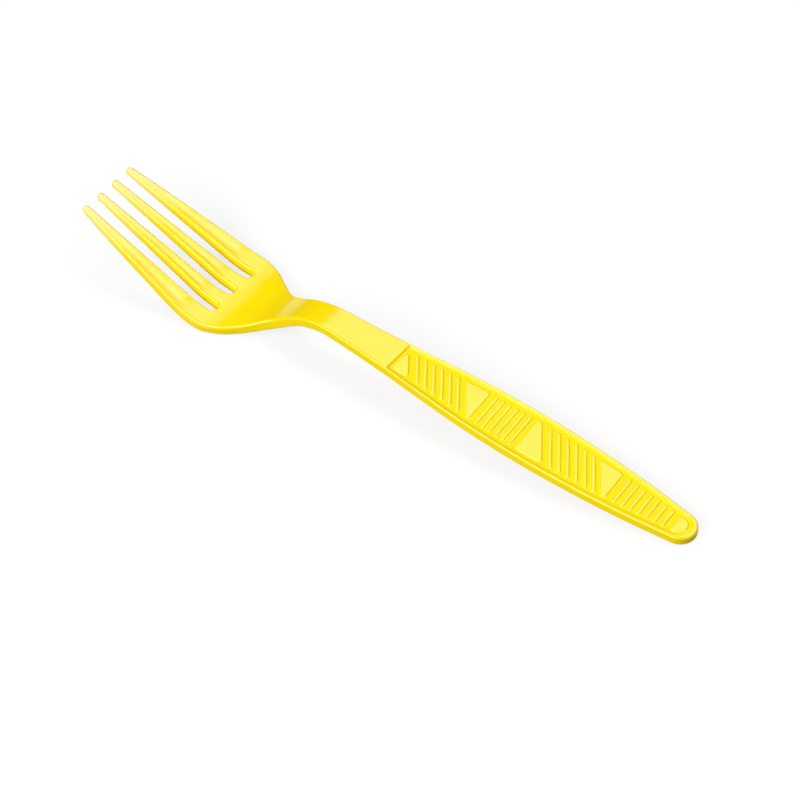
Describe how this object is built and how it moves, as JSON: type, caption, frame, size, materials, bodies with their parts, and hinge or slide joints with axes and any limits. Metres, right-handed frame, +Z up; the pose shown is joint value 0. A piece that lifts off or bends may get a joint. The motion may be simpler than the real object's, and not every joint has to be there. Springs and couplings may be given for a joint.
{
  "type": "plastic fork",
  "caption": "Disposable moulded plastic fork with tapered tines, a cranked neck and a long handle with a rimmed, ribbed grip panel.",
  "frame": {"origin": "under the middle of the fork's length and width, on the surface that its belly and the handle's end rest on", "axes": "+X along the fork towards the handle's end, +Y across, +Z up, with the tines curving up at -X"},
  "size_m": [0.1692, 0.027, 0.0154],
  "materials": {
    "plastic": "smooth glossy yellow moulded polystyrene, with a few polished highlights and no grain"
  },
  "bodies": {
    "root": {"fork": "plastic"}
  },
  "joints": []
}
